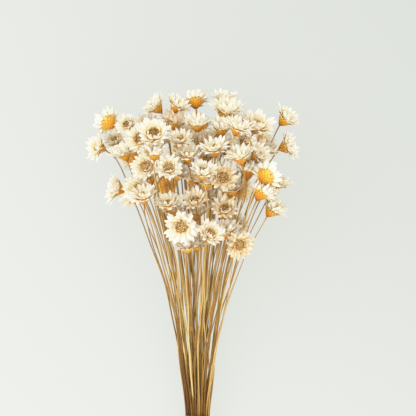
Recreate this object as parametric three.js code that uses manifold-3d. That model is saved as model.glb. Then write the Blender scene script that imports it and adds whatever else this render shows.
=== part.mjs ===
// A bunch of dried daisies lying on its side: thin straw stems, each with one papery flower head,
// gathered by a band of wound raffia with the cut ends below it.
// Millimetres, +Z up, +Y from the cut ends towards the flowers.

import * as THREE from "three";
import { mergeVertices } from "three/addons/utils/BufferGeometryUtils.js";
import Module from "manifold-3d";

const wasm = await Module();
wasm.setup();

// ---------- Driving dimensions ----------

// A flower head, for a head whose bracts spread to HEAD_RADIUS; each flower scales them.
const HEAD_RADIUS = 7;
const HEAD_SIDES = 10;
const NOTCH = 0.78; // radius between two bract tips, as a share of the radius at the tips
const CONE_FOOT_RADIUS = 0.8;
const CONE_RIM_RADIUS = 3.5;
const CONE_RIM_HEIGHT = 4.3;
const TIP_HEIGHT = 7.4;
const DISC_RADIUS = 3.2;
const DISC_HEIGHT = 6;

// A stem.
const STEM_RADIUS = 0.52; // to the corners
const STEM_SIDES = 4;
const STEM_STEPS = 6; // straight stretches between the tie and the head
const STEM_INTO_HEAD = 0.8;
const STEM_TURN = 2.4; // each stem's corners are turned on from the last one's by this angle
const NECK_LENGTH_UNDER_HEAD = 7; // the last stretch of a stem, which points along its flower

// The tie, and the stems inside it. The tie's upper edge is at y = 0.
const TIE_LENGTH = 11;
const TIE_TURNS = 6;
const TIE_CORD = 1.5;
const TIE_VALLEY = 0.55; // height of the valley between two turns, as a share of the cord
const TIE_SIDES = 20;
const TIE_CLEARANCE = 0.3;
const TIE_CENTRE_Z = 8.6;
const SLOT_PITCH_X = 1.8;
const SLOT_PITCH_Z = 1.1;
const SLOT_REACH = 6; // columns of stems on either side of the middle
const PAIR_OFFSET = 0.36; // half the distance between two stems that are pressed into each other

// The cut ends below the tie.
const TAIL_LENGTH = 118;
const TAIL_UNEVEN = 7;
const TAIL_UNEVEN_STEP = 0.618; // share of TAIL_UNEVEN from one stem to the next
const TAIL_SPLAY = 1.75;
const TAIL_CENTRE_Z = 11.4;

// The cloud of heads: its middle, and how far the faces reach from there.
const CLOUD_Y = 125;
const CLOUD_Z = 37;
const CLOUD_HALF_WIDTH = 58;
const CLOUD_HALF_LENGTH = 48;
const CLOUD_HALF_HEIGHT = 35;
const CLOUD_THINNEST = 0.25; // share of the half height that is left at the edge of the cloud
const EDGE_ABOVE_TIE = 1;
const STEEPEST_STEM = 0.42; // sideways travel for each millimetre along the bunch
// Stems leave the tie nearly side by side and spread as a power of the way to their heads.
const STEM_FLARE_LEFT = 1.8; // at the left edge of the cloud
const STEM_FLARE_RIGHT = 3.1; // at its right edge, where they stay together longer

// Gaps kept while the flowers settle against each other.
const STEM_SPACING = 1.3;
const STEM_SPACING_AT_TIE = 1.08;
const STEM_TO_HEAD = 0.95;
const HEAD_TO_HEAD = 0.35;
const SETTLING_ROUNDS = 360;
const NEIGHBOUR_ROUNDS = 20; // rounds between two searches for neighbouring stretches of stem
const FAR_HEADS = 30; // heads further apart than this can't meet
const NEAR_STEMS = 3; // stretches of stem that come this near are watched until the next search
const NEAR_HEAD = 2;

// What a settling flower is taken to be: a flat ellipsoid for the crown, and a ball for the cone.
const CROWN_HALF_HEIGHT = 2.9;
const CROWN_CENTRE = 5.9;
const CONE_BALL_RADIUS = 2.7;
const CONE_BALL_CENTRE = 3;

// How much of what is missing each round of settling makes good.
const HEAD_PUSH = 0.35;
const HEAD_SIDEWAYS = 0.3; // sideways share of a head's moves, which are mostly up and down
const CONE_PUSH = 0.3;
const STEM_PUSH = 0.4;
const STEM_OFF_HEAD = 0.5;
const HEAD_OFF_STEM = 0.12;
const HOME_PULL = 0.06;
const HOME_PULL_UP = 0.01;
const NECK_PULL = 0.5;
const NECK_LEAN = 0.35; // how far a neck leans along the bunch rather than along its flower's look
const SMOOTHING = 0.15;
const EVEN_STRETCHES = 0.3;
const LEAST_GRIP = 0.3; // so that a stretch next to the tie or a head isn't thrown too far

// Flowers: x and y of the middle of the face, in millimetres from a place EDGE_ABOVE_TIE above the
// middle of the tie's upper edge; depth, from -1 on the underside of the cloud to 1 on its top and
// more for a flower that stands out of it; the direction that the face looks in; and the radius to
// the bract tips.
const SINGLE_FLOWERS = [
  [-45, 148, 0, -0.6, 0.5, -0.6, 7],
  [-50.3, 135.3, 0.1, -0.8, 0.3, 0.5, 6.5],
  [-35, 146.5, 0.5, -0.4, 0.4, 0.8, 5.5],
  [-24.5, 147, 0.1, 0.1, 0.85, 0.5, 6.5],
  [-21.5, 141, 1.05, -0.05, 0.5, 0.86, 7.8],
  [-36.7, 133.6, 0.55, -0.4, 0.85, 0.3, 7],
  [-29, 139, 0.6, -0.4, 0.2, 0.9, 7],
  [-21.4, 156.2, 0, -0.65, 0.7, 0.2, 6.5],
  [-9.5, 156, 0.1, 0.5, 0.82, 0.2, 6.5],
  [-1.1, 158.5, -0.1, -0.1, 0.75, -0.6, 6.4],
  [-0.2, 147.6, 0.7, 0.05, 0.9, 0.35, 6.3],
  [15, 154.2, 0.3, 0.15, 0.95, 0.2, 8.6],
  [12.6, 145.8, 0.7, 0.05, 0.93, 0.3, 6.5],
  [20.8, 144.9, 0.75, 0.3, 0.9, 0.3, 6.8],
  [30.5, 147, 0.4, 0.35, 0.75, 0.55, 8],
  [45.3, 150.2, 0, 0.68, 0.7, 0.2, 7],
  [46.3, 136, 0.2, 0.88, 0.35, 0.25, 7],
  [20.8, 131.9, 0.85, -0.2, 0.9, 0.35, 7],
  [34, 120.4, 0.9, 0.5, 0.45, -0.75, 7.4],
  [32.7, 113.2, 1.15, 0.5, 0.75, -0.3, 6.3],
  [38.8, 107.4, 0.6, 0.62, 0.8, 0.25, 7],
  [-25.5, 125.5, 0.95, -0.15, 0.15, 0.97, 6.7],
  [-13.5, 125, 0.98, 0.05, 0.15, 0.98, 6.5],
  [-41.4, 114.5, 0.2, -0.9, 0.25, 0.3, 7],
  [-30, 114, 0.75, -0.45, 0.1, 0.88, 7],
  [-25.9, 111.3, 0.9, -0.1, 0.88, 0.4, 6.8],
  [3.3, 123.5, 1, 0, 0.85, 0.5, 7],
  [12.3, 120, 0.8, 0.2, 0.35, 0.9, 6.8],
  [-8, 95, 1, -0.15, -0.35, 0.92, 7.7],
  [-5, 86.5, 0.9, -0.1, 0.92, 0.35, 6],
  [7, 92.5, 1.35, 0.3, 0.55, 0.78, 6.6],
  [15.3, 94, 1.15, 0.1, 0.93, 0.35, 7.2],
  [21, 87, 1.6, 0.45, -0.3, 0.84, 6.6],
  [8.5, 135.2, 0.8, -0.15, 0.9, 0.4, 7],
];

// Flowers whose stems are pressed together under the tie, two by two.
const PAIRED_FLOWERS = [
  [
    [-41.5, 139, -0.2, -0.5, 0.6, 0.6, 5.5],
    [-30, 140, -0.6, -0.5, 0.6, -0.6, 6.5],
  ],
  [
    [-21.3, 135.5, 0.95, 0, 0.9, 0.4, 6.8],
    [-16, 140, 0.2, 0.3, 0.85, 0.3, 6],
  ],
  [
    [14, 160.5, -0.3, 0.1, 0.95, 0.2, 6.5],
    [1.5, 147, -0.5, 0, 0.8, -0.5, 6.5],
  ],
  [
    [23.5, 137, 0.7, -0.4, -0.3, 0.85, 6.3],
    [31, 132.5, 0.55, 0.75, 0.5, 0.4, 6.5],
  ],
  [
    [35.8, 133.8, 0.2, 0.3, 0.88, 0.3, 6.5],
    [34, 138, -0.5, 0.7, 0.5, -0.5, 6.5],
  ],
  [
    [25.6, 123.6, 0.55, 0.1, 0.9, -0.3, 6],
    [30, 127.5, 0.1, 0.4, 0.7, 0.5, 6.2],
  ],
  [
    [35.5, 113, 0.25, 0.5, 0.7, 0.2, 6.5],
    [40.5, 117, 0, 0.5, 0.75, 0.2, 6.5],
  ],
  [
    [32.5, 125.6, -0.2, 0.7, 0.6, 0.2, 6.5],
    [25, 130, -0.7, 0.3, 0.3, -0.9, 6.8],
  ],
  [
    [-22, 123, 0.25, -0.3, 0.85, 0.3, 6.3],
    [-17, 124, 0.3, 0.2, 0.9, 0.3, 6.3],
  ],
  [
    [-8.3, 122.6, 0.7, 0.2, 0.85, 0.4, 6.4],
    [-5.4, 125.3, 0, -0.4, 0.8, 0.4, 6],
  ],
  [
    [-5.5, 133.5, 0.85, 0, 0.92, 0.35, 6.5],
    [-8, 137.5, 0.75, -0.1, 0.8, 0.5, 6],
  ],
  [
    [2, 139.2, 0.45, 0, 0.95, 0.2, 6.5],
    [4.6, 131.9, 0.15, 0.1, 0.9, 0.3, 6.3],
  ],
  [
    [14.5, 134.5, 0.75, 0.4, 0.3, 0.85, 6.3],
    [11, 139.5, 0.1, 0.1, 0.5, 0.8, 6],
  ],
  [
    [-10, 149.6, 0.4, 0.25, 0.85, 0.3, 6.5],
    [-8, 142.5, 0, 0, 0.8, 0.5, 6.5],
  ],
  [
    [-12, 150, -0.5, -0.2, 0.8, -0.5, 6.5],
    [-8, 134, -0.7, -0.1, 0.3, -0.95, 7],
  ],
  [
    [15.1, 114.9, 0.65, -0.15, 0.9, 0.35, 6.5],
    [7.3, 119, 0.75, 0.05, 0.92, 0.35, 6.3],
  ],
  [
    [-2.5, 109, 0.8, -0.1, 0.65, 0.75, 6.5],
    [4.5, 110.5, 0.5, 0.1, 0.3, 0.93, 6.5],
  ],
  [
    [14, 105.5, 0.75, 0.1, 0.5, 0.85, 6.5],
    [12.6, 103.7, 0.3, 0.1, 0.95, 0.3, 6.3],
  ],
  [
    [-13.1, 108.4, 0.8, -0.1, 0.9, 0.4, 6.5],
    [-13.6, 103.9, 0.4, 0.1, 0.9, 0.3, 6],
  ],
  [
    [0, 87.5, 0.35, 0.1, 0.9, 0.4, 6],
    [0, 103, 0, 0, 0.98, 0.15, 6],
  ],
  [
    [19.5, 97, -0.1, 0.4, 0.7, 0.5, 6.5],
    [22, 114, -0.6, 0.5, 0.1, -0.85, 6.5],
  ],
  [
    [-33, 130, -0.5, -0.7, 0.3, -0.5, 6.5],
    [-24, 130, -0.9, -0.3, 0.4, -0.85, 7],
  ],
  [
    [24, 147, -0.5, 0.4, 0.8, -0.4, 6.8],
    [9, 136, -0.95, 0.1, 0.3, -0.95, 7],
  ],
  [
    [-33, 112, -0.6, -0.6, 0.1, -0.8, 7],
    [-16, 116, -1, -0.2, 0.1, -0.97, 7],
  ],
  [
    [0, 117, -1, 0, 0.1, -1, 7],
    [17, 113, -1, 0.2, 0.1, -0.97, 7],
  ],
];

const MERGE_DISTANCE = 1e-4;
const TINY = 1e-9;

// Colours.
const PETAL_COLOUR = 0xe9dfc4;
const PETAL_ROUGHNESS = 0.85;
const TIE_COLOUR = 0xb08a52;
const TIE_ROUGHNESS = 0.9;

// ---------- Solids ----------

// The manifold-3d solid of a closed three.js geometry.
function solidOf(geometry) {
  const bare = geometry.index ? geometry.toNonIndexed() : geometry.clone();
  bare.deleteAttribute("normal");
  bare.deleteAttribute("uv");
  const merged = mergeVertices(bare, MERGE_DISTANCE);
  return new wasm.Manifold(
    new wasm.Mesh({
      numProp: 3,
      vertProperties: merged.attributes.position.array,
      triVerts: new Uint32Array(merged.index.array),
    }),
  );
}

// The three.js geometry of a manifold-3d solid.
function geometryOf(solid) {
  const mesh = solid.getMesh();
  const geometry = new THREE.BufferGeometry();
  geometry.setAttribute("position", new THREE.BufferAttribute(mesh.vertProperties, 3));
  geometry.setIndex(new THREE.BufferAttribute(mesh.triVerts, 1));
  const flat = geometry.toNonIndexed();
  flat.computeVertexNormals();
  return flat;
}

// A smooth curve that a tube follows with one ring at each of its points.
class StemPath extends THREE.Curve {
  constructor(points) {
    super();
    this.spline = new THREE.CatmullRomCurve3(points, false, "centripetal");
  }

  getPoint(t, target = new THREE.Vector3()) {
    return this.spline.getPoint(t, target);
  }

  getPointAt(t, target) {
    return this.getPoint(t, target);
  }

  getTangentAt(t, target) {
    return this.getTangent(t, target);
  }
}

function polygon(sides, radius, turn) {
  const corners = [];
  for (let i = 0; i < sides; i++) {
    const angle = turn + (i / sides) * 2 * Math.PI;
    corners.push(new THREE.Vector2(radius * Math.cos(angle), radius * Math.sin(angle)));
  }
  return new THREE.Shape(corners);
}

function stemSolid(points, turn) {
  return solidOf(
    new THREE.ExtrudeGeometry(polygon(STEM_SIDES, STEM_RADIUS, turn), {
      steps: points.length - 1,
      extrudePath: new StemPath(points),
    }),
  );
}

// A head standing on the origin along +Y: the cone below, the star of bracts, the disc inside it.
function headGeometry() {
  const profile = [
    new THREE.Vector2(0, 0),
    new THREE.Vector2(CONE_FOOT_RADIUS, 0),
    new THREE.Vector2(CONE_RIM_RADIUS, CONE_RIM_HEIGHT),
    new THREE.Vector2(HEAD_RADIUS, TIP_HEIGHT),
    new THREE.Vector2(DISC_RADIUS, DISC_HEIGHT),
    new THREE.Vector2(0, DISC_HEIGHT),
  ];
  const head = new THREE.LatheGeometry(profile, HEAD_SIDES);
  const position = head.getAttribute("position");
  for (let i = 0; i < position.count; i++) {
    const column = Math.floor(i / profile.length);
    const isTip = i % profile.length === 3;
    if (isTip && column % 2 === 1) {
      position.setX(i, position.getX(i) * NOTCH);
      position.setZ(i, position.getZ(i) * NOTCH);
    }
  }
  return head;
}

function headSolid(flower) {
  const place = new THREE.Matrix4().compose(
    flower.foot,
    new THREE.Quaternion().setFromUnitVectors(new THREE.Vector3(0, 1, 0), flower.look),
    new THREE.Vector3(flower.scale, flower.scale, flower.scale),
  );
  return solidOf(headGeometry().applyMatrix4(place));
}

function flowerSolid(flower) {
  const top = flower.foot.clone().addScaledVector(flower.look, STEM_INTO_HEAD);
  const points = [flower.cutEnd, flower.tieBottom, ...flower.nodes.slice(0, -1), top];
  return stemSolid(points, flower.turn).add(headSolid(flower));
}

// The tie: a ring with a rounded ridge for each turn of raffia.
function tieSolid(innerRadius) {
  const turn = TIE_LENGTH / TIE_TURNS;
  const valley = innerRadius + TIE_CORD * TIE_VALLEY;
  const ridge = innerRadius + TIE_CORD;
  const profile = [new THREE.Vector2(innerRadius, 0), new THREE.Vector2(innerRadius, -TIE_LENGTH)];
  for (let i = TIE_TURNS; i > 0; i--) {
    profile.push(new THREE.Vector2(valley, -i * turn));
    profile.push(new THREE.Vector2(ridge, -(i - 0.5) * turn));
  }
  profile.push(new THREE.Vector2(valley, 0));
  profile.push(profile[0].clone());
  const ring = new THREE.LatheGeometry(profile, TIE_SIDES);
  ring.translate(0, 0, TIE_CENTRE_Z);
  return solidOf(ring);
}

// ---------- Where the flowers start ----------

const centreZ = (y) => TIE_CENTRE_Z + (y / CLOUD_Y) * (CLOUD_Z - TIE_CENTRE_Z);

// Half the height of the cloud over a place in it.
function halfHeight(x, y) {
  const across = x / CLOUD_HALF_WIDTH;
  const along = (y - CLOUD_Y) / CLOUD_HALF_LENGTH;
  const roundness = Math.sqrt(Math.max(0, 1 - across * across - along * along));
  return CLOUD_HALF_HEIGHT * Math.max(CLOUD_THINNEST, roundness);
}

function startFlower(row) {
  const [x, y, depth, lookX, lookY, lookZ, radius] = row;
  const scale = radius / HEAD_RADIUS;
  const look = new THREE.Vector3(lookX, lookY, lookZ).normalize();
  const z = centreZ(y) + depth * halfHeight(x, y);
  const face = new THREE.Vector3(x, y + EDGE_ABOVE_TIE, z);
  const foot = face.clone().addScaledVector(look, -DISC_HEIGHT * scale);
  return { look, scale, foot, home: foot.clone(), nodes: [] };
}

// The places that the stems take inside the tie: the cells of a staggered grid nearest its middle.
function tieSlots(count) {
  const cells = [];
  for (let row = -2 * SLOT_REACH; row <= 2 * SLOT_REACH; row++) {
    for (let column = -SLOT_REACH; column <= SLOT_REACH; column++) {
      const stagger = row % 2 === 0 ? 0 : SLOT_PITCH_X / 2;
      cells.push(new THREE.Vector2(column * SLOT_PITCH_X + stagger, row * SLOT_PITCH_Z));
    }
  }
  cells.sort((a, b) => a.length() - b.length() || a.x - b.x || a.y - b.y);
  return cells.slice(0, count);
}

// Where a group of flowers would like to pass the tie: on the side that its heads lean to.
function wantedSlot(group, bundleRadius) {
  const wanted = new THREE.Vector2();
  for (const flower of group) {
    const { x, y, z } = flower.foot;
    wanted.x += x / y;
    wanted.y += (z - centreZ(y)) / y;
  }
  return wanted.multiplyScalar(bundleRadius / STEEPEST_STEM / group.length);
}

// Gives each group the slot that suits it, by swapping slots while that brings them closer.
function shareOutSlots(groups) {
  const slots = tieSlots(groups.length);
  const bundleRadius = Math.max(...slots.map((slot) => slot.length()));
  const wanted = groups.map((group) => wantedSlot(group, bundleRadius));
  const cost = (group, slot) => wanted[group].distanceToSquared(slots[slot]);
  const taken = groups.map((_, index) => index);
  let improved = true;
  while (improved) {
    improved = false;
    for (let a = 0; a < groups.length; a++) {
      for (let b = a + 1; b < groups.length; b++) {
        const now = cost(a, taken[a]) + cost(b, taken[b]);
        const swapped = cost(a, taken[b]) + cost(b, taken[a]);
        if (swapped < now - TINY) {
          [taken[a], taken[b]] = [taken[b], taken[a]];
          improved = true;
        }
      }
    }
  }
  return taken.map((slot) => slots[slot]);
}

function stemFlare(x) {
  const share = THREE.MathUtils.inverseLerp(-CLOUD_HALF_WIDTH, CLOUD_HALF_WIDTH, x);
  return THREE.MathUtils.lerp(STEM_FLARE_LEFT, STEM_FLARE_RIGHT, share);
}

// Sets where each stem passes the tie and where it is cut, and draws it in a curve to its head.
function startStems(groups) {
  const slots = shareOutSlots(groups);
  let count = 0;
  groups.forEach((group, index) => {
    const leftFirst = [...group].sort((a, b) => a.foot.x - b.foot.x);
    leftFirst.forEach((flower, rank) => {
      const offset = group.length === 1 ? 0 : (rank === 0 ? -1 : 1) * PAIR_OFFSET;
      const x = slots[index].x + offset;
      const z = slots[index].y;
      const uneven = TAIL_UNEVEN * (((count * TAIL_UNEVEN_STEP) % 1) - 0.5);
      flower.turn = count * STEM_TURN;
      count += 1;
      const tieTop = new THREE.Vector3(x, 0, TIE_CENTRE_Z + z);
      const flare = stemFlare(flower.foot.x);
      flower.tieBottom = new THREE.Vector3(x, -TIE_LENGTH, TIE_CENTRE_Z + z);
      flower.cutEnd = new THREE.Vector3(
        x * TAIL_SPLAY,
        -TIE_LENGTH - TAIL_LENGTH + uneven,
        TAIL_CENTRE_Z + z * TAIL_SPLAY,
      );
      for (let i = 0; i <= STEM_STEPS; i++) {
        const t = i / STEM_STEPS;
        const point = tieTop.clone().lerp(flower.foot, t);
        point.x = THREE.MathUtils.lerp(tieTop.x, flower.foot.x, t ** flare);
        point.z = THREE.MathUtils.lerp(tieTop.z, flower.foot.z, t ** flare);
        flower.nodes.push(point);
      }
      const bendAt = (point, i, points) =>
        point.clone().sub(points[i - 1].clone().add(points[i + 1]).multiplyScalar(0.5));
      flower.bends = flower.nodes.slice(1, -1).map((point, i) => bendAt(point, i + 1, flower.nodes));
    });
  });
}

// ---------- How the flowers settle against each other ----------

// How far a crown reaches from its middle in a direction.
function crownReach(flower, direction) {
  const along = flower.look.dot(direction);
  const across = Math.sqrt(Math.max(0, 1 - along * along));
  return flower.scale * Math.hypot(HEAD_RADIUS * across, CROWN_HALF_HEIGHT * along);
}

const crownCentre = (flower) =>
  flower.foot.clone().addScaledVector(flower.look, CROWN_CENTRE * flower.scale);
const coneCentre = (flower) =>
  flower.foot.clone().addScaledVector(flower.look, CONE_BALL_CENTRE * flower.scale);

// Heads move up and down freely, and sideways only a little.
function moveHead(flower, direction, distance) {
  flower.foot.x += HEAD_SIDEWAYS * direction.x * distance;
  flower.foot.y += HEAD_SIDEWAYS * direction.y * distance;
  flower.foot.z += direction.z * distance;
}

// The direction in which two crowns are nearest to being apart, and how much they lack.
function crownGap(a, b) {
  const between = crownCentre(b).sub(crownCentre(a));
  let best = null;
  for (const axis of [between.clone().normalize(), a.look, b.look, new THREE.Vector3(0, 0, 1)]) {
    const distance = between.dot(axis);
    const lack = crownReach(a, axis) + crownReach(b, axis) + HEAD_TO_HEAD - Math.abs(distance);
    if (!best || lack < best.lack) {
      best = { lack, axis: axis.clone().multiplyScalar(distance < 0 ? -1 : 1) };
    }
  }
  return best;
}

function separateHeads(flowers) {
  for (let i = 0; i < flowers.length; i++) {
    for (let j = i + 1; j < flowers.length; j++) {
      const a = flowers[i];
      const b = flowers[j];
      if (a.foot.distanceTo(b.foot) > FAR_HEADS) continue;
      const gap = crownGap(a, b);
      if (gap.lack > 0) {
        moveHead(a, gap.axis, -HEAD_PUSH * gap.lack);
        moveHead(b, gap.axis, HEAD_PUSH * gap.lack);
      }
      pushConeOut(a, b);
      pushConeOut(b, a);
    }
  }
}

// How far a stretch of stem or a ball is inside a crown, measured in the crown's stretched space.
function intoCrown(flower, start, end, clearance) {
  const wide = HEAD_RADIUS * flower.scale + clearance;
  const high = CROWN_HALF_HEIGHT * flower.scale + clearance;
  const centre = crownCentre(flower);
  const squeeze = (point) => {
    const from = point.clone().sub(centre);
    const along = from.dot(flower.look);
    return from
      .addScaledVector(flower.look, -along)
      .divideScalar(wide)
      .addScaledVector(flower.look, along / high);
  };
  const a = squeeze(start);
  const step = squeeze(end).sub(a);
  const t = THREE.MathUtils.clamp(-a.dot(step) / Math.max(TINY, step.lengthSq()), 0, 1);
  const nearest = a.addScaledVector(step, t);
  const reach = nearest.length();
  if (reach >= 1) return null;
  const nearestAlong = nearest.dot(flower.look);
  const push = nearest
    .addScaledVector(flower.look, -nearestAlong)
    .divideScalar(wide)
    .addScaledVector(flower.look, nearestAlong / high);
  if (push.length() < TINY) push.copy(flower.look);
  push.normalize();
  const along = push.dot(flower.look);
  const across = Math.sqrt(Math.max(0, 1 - along * along));
  return { push, depth: (1 - reach) * Math.hypot(wide * across, high * along), t };
}

function pushConeOut(owner, other) {
  const ball = coneCentre(owner);
  const hit = intoCrown(other, ball, ball, CONE_BALL_RADIUS * owner.scale + HEAD_TO_HEAD);
  if (!hit) return;
  moveHead(owner, hit.push, CONE_PUSH * hit.depth);
  moveHead(other, hit.push, -CONE_PUSH * hit.depth);
}

// Heads rest on the surface rather than in it.
function liftOffSurface(flowers) {
  const down = new THREE.Vector3(0, 0, -1);
  for (const flower of flowers) {
    const lowest = crownCentre(flower).z - crownReach(flower, down);
    const cone = coneCentre(flower).z - CONE_BALL_RADIUS * flower.scale;
    flower.foot.z += Math.max(0, -lowest, -cone);
    for (const node of flower.nodes) node.z = Math.max(node.z, STEM_RADIUS);
  }
}

// Draws the heads back to where they started, weakly in height.
function returnHome(flowers, strength) {
  for (const flower of flowers) {
    flower.foot.x += HOME_PULL * strength * (flower.home.x - flower.foot.x);
    flower.foot.y += HOME_PULL * strength * (flower.home.y - flower.foot.y);
    flower.foot.z += HOME_PULL_UP * strength * (flower.home.z - flower.foot.z);
  }
}

// Each stem stays smooth, leaves the tie along the bunch and meets its head from behind.
function straightenStems(flowers, strength) {
  for (const flower of flowers) {
    const nodes = flower.nodes;
    const last = nodes.length - 1;
    nodes[last].copy(flower.foot);
    const behind = flower.look.clone().add(new THREE.Vector3(0, NECK_LEAN, 0)).normalize();
    const underHead = flower.foot.clone().addScaledVector(behind, -NECK_LENGTH_UNDER_HEAD);
    nodes[last - 1].lerp(underHead, NECK_PULL * strength);
    for (let i = 1; i < last - 1; i++) {
      const middle = nodes[i - 1].clone().add(nodes[i + 1]).multiplyScalar(0.5);
      nodes[i].lerp(middle.add(flower.bends[i - 1]), SMOOTHING * strength);
      const share = i / (last - 1);
      nodes[i].y += EVEN_STRETCHES * (nodes[last - 1].y * share - nodes[i].y);
    }
  }
}

// The nearest places of two stretches, as shares of their lengths.
function nearestShares(a0, a1, b0, b1) {
  const d1 = a1.clone().sub(a0);
  const d2 = b1.clone().sub(b0);
  const r = a0.clone().sub(b0);
  const a = d1.lengthSq();
  const e = d2.lengthSq();
  const f = d2.dot(r);
  const c = d1.dot(r);
  const b = d1.dot(d2);
  const denominator = a * e - b * b;
  const clamp = (value) => THREE.MathUtils.clamp(value, 0, 1);
  let s = denominator > TINY ? clamp((b * f - c * e) / denominator) : 0.5;
  const t = clamp((b * s + f) / e);
  s = clamp((b * t - c) / a);
  return [s, t];
}

// Moves the place at a share of a stretch of stem by moving the stretch's ends. The first and the
// last point of a stem stay, because they belong to the tie and the head.
function moveStretch(flower, index, share, direction, distance) {
  const last = flower.nodes.length - 1;
  const first = index > 0 ? 1 - share : 0;
  const second = index + 1 < last ? share : 0;
  const gain = distance / Math.max(LEAST_GRIP, first ** 2 + second ** 2);
  flower.nodes[index].addScaledVector(direction, first * gain);
  flower.nodes[index + 1].addScaledVector(direction, second * gain);
}

// Pairs of stretches of different stems that are near enough to touch soon.
function neighbouringStretches(flowers) {
  const stretches = [];
  for (const flower of flowers) {
    for (let index = 0; index + 1 < flower.nodes.length; index++) {
      const from = flower.nodes[index];
      const to = flower.nodes[index + 1];
      const middle = from.clone().add(to).multiplyScalar(0.5);
      stretches.push({ flower, index, middle, half: from.distanceTo(to) / 2 });
    }
  }
  const pairs = [];
  for (let i = 0; i < stretches.length; i++) {
    for (let j = i + 1; j < stretches.length; j++) {
      const a = stretches[i];
      const b = stretches[j];
      if (a.flower === b.flower) continue;
      if (a.middle.distanceTo(b.middle) < a.half + b.half + NEAR_STEMS) pairs.push([a, b]);
    }
  }
  return pairs;
}

function separateStems(pairs) {
  for (const [a, b] of pairs) {
    const a0 = a.flower.nodes[a.index];
    const a1 = a.flower.nodes[a.index + 1];
    const b0 = b.flower.nodes[b.index];
    const b1 = b.flower.nodes[b.index + 1];
    const [s, t] = nearestShares(a0, a1, b0, b1);
    const between = b0.clone().lerp(b1, t).sub(a0.clone().lerp(a1, s));
    const distance = between.length();
    const fromTie = a.index === 0 && b.index === 0 ? Math.max(s, t) : 1;
    const wanted = THREE.MathUtils.lerp(STEM_SPACING_AT_TIE, STEM_SPACING, fromTie);
    if (distance >= wanted || distance < TINY) continue;
    const push = STEM_PUSH * (wanted - distance);
    between.divideScalar(distance);
    moveStretch(a.flower, a.index, s, between, -push);
    moveStretch(b.flower, b.index, t, between, push);
  }
}

// Stems pass beside the heads of other flowers.
function clearHeads(flowers) {
  for (const head of flowers) {
    const centre = crownCentre(head);
    const cone = coneCentre(head);
    const coneClearance = CONE_BALL_RADIUS * head.scale + STEM_TO_HEAD;
    for (const flower of flowers) {
      if (flower === head) continue;
      for (let index = 0; index + 1 < flower.nodes.length; index++) {
        const from = flower.nodes[index];
        const to = flower.nodes[index + 1];
        const room = HEAD_RADIUS * head.scale + NEAR_HEAD + from.distanceTo(to);
        if (from.distanceTo(centre) > room) continue;
        const hit = intoCrown(head, from, to, STEM_TO_HEAD);
        if (hit) {
          moveStretch(flower, index, hit.t, hit.push, STEM_OFF_HEAD * hit.depth);
          moveHead(head, hit.push, -HEAD_OFF_STEM * hit.depth);
        }
        const step = to.clone().sub(from);
        const t = THREE.MathUtils.clamp(cone.clone().sub(from).dot(step) / step.lengthSq(), 0, 1);
        const away = from.clone().addScaledVector(step, t).sub(cone);
        const lack = coneClearance - away.length();
        if (lack > 0) {
          away.normalize();
          moveStretch(flower, index, t, away, STEM_OFF_HEAD * lack);
          moveHead(head, away, -HEAD_OFF_STEM * lack);
        }
      }
    }
  }
}

function settle(flowers) {
  let neighbours = [];
  for (let round = 0; round < SETTLING_ROUNDS; round++) {
    if (round % NEIGHBOUR_ROUNDS === 0) neighbours = neighbouringStretches(flowers);
    const strength = 1 - round / SETTLING_ROUNDS; // in the last rounds only touching flowers move
    returnHome(flowers, strength);
    separateHeads(flowers);
    straightenStems(flowers, strength);
    clearHeads(flowers);
    separateStems(neighbours);
    liftOffSurface(flowers);
  }
  for (const flower of flowers) flower.nodes[flower.nodes.length - 1].copy(flower.foot);
}

// ---------- The bunch ----------

const bunch = new THREE.Group();

function addNode(name, solid, colour, roughness) {
  const material = new THREE.MeshStandardMaterial({ color: colour, roughness, metalness: 0 });
  const mesh = new THREE.Mesh(geometryOf(solid), material);
  mesh.name = name;
  bunch.add(mesh);
}

const twoDigits = (number) => String(number).padStart(2, "0");

const singles = SINGLE_FLOWERS.map((row) => [startFlower(row)]);
const pairs = PAIRED_FLOWERS.map((rows) => rows.map(startFlower));
const groups = [...singles, ...pairs];
const flowers = groups.flat();
startStems(groups);
settle(flowers);

singles.forEach(([flower], index) => {
  addNode(`flower_${twoDigits(index + 1)}`, flowerSolid(flower), PETAL_COLOUR, PETAL_ROUGHNESS);
});
pairs.forEach(([first, second], index) => {
  const solid = flowerSolid(first).add(flowerSolid(second));
  addNode(`flower_pair_${twoDigits(index + 1)}`, solid, PETAL_COLOUR, PETAL_ROUGHNESS);
});

const fromTieCentre = (flower) => Math.hypot(flower.tieBottom.x, flower.tieBottom.z - TIE_CENTRE_Z);
const bundleRadius = Math.max(...flowers.map(fromTieCentre)) + STEM_RADIUS;
addNode("raffia_tie", tieSolid(bundleRadius + TIE_CLEARANCE), TIE_COLOUR, TIE_ROUGHNESS);

// The part's origin is under the middle of the whole bunch, on the surface that it lies on.
const box = new THREE.Box3().setFromObject(bunch);
const middle = box.getCenter(new THREE.Vector3());
bunch.position.set(-middle.x, -middle.y, -box.min.z);

const part = new THREE.Group();
part.add(bunch);

export default part;
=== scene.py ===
# A bunch of dried daisies lying on a pale surface. Each flower of the CAD frame gets its ribbed
# straw stem, its cone of small scales, its papery bracts and its disc of florets, and the tie
# gets its wound raffia. Metres, in the frame's own place.
import math
import random

import bpy
import numpy as np
from mathutils import Matrix, Vector


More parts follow.
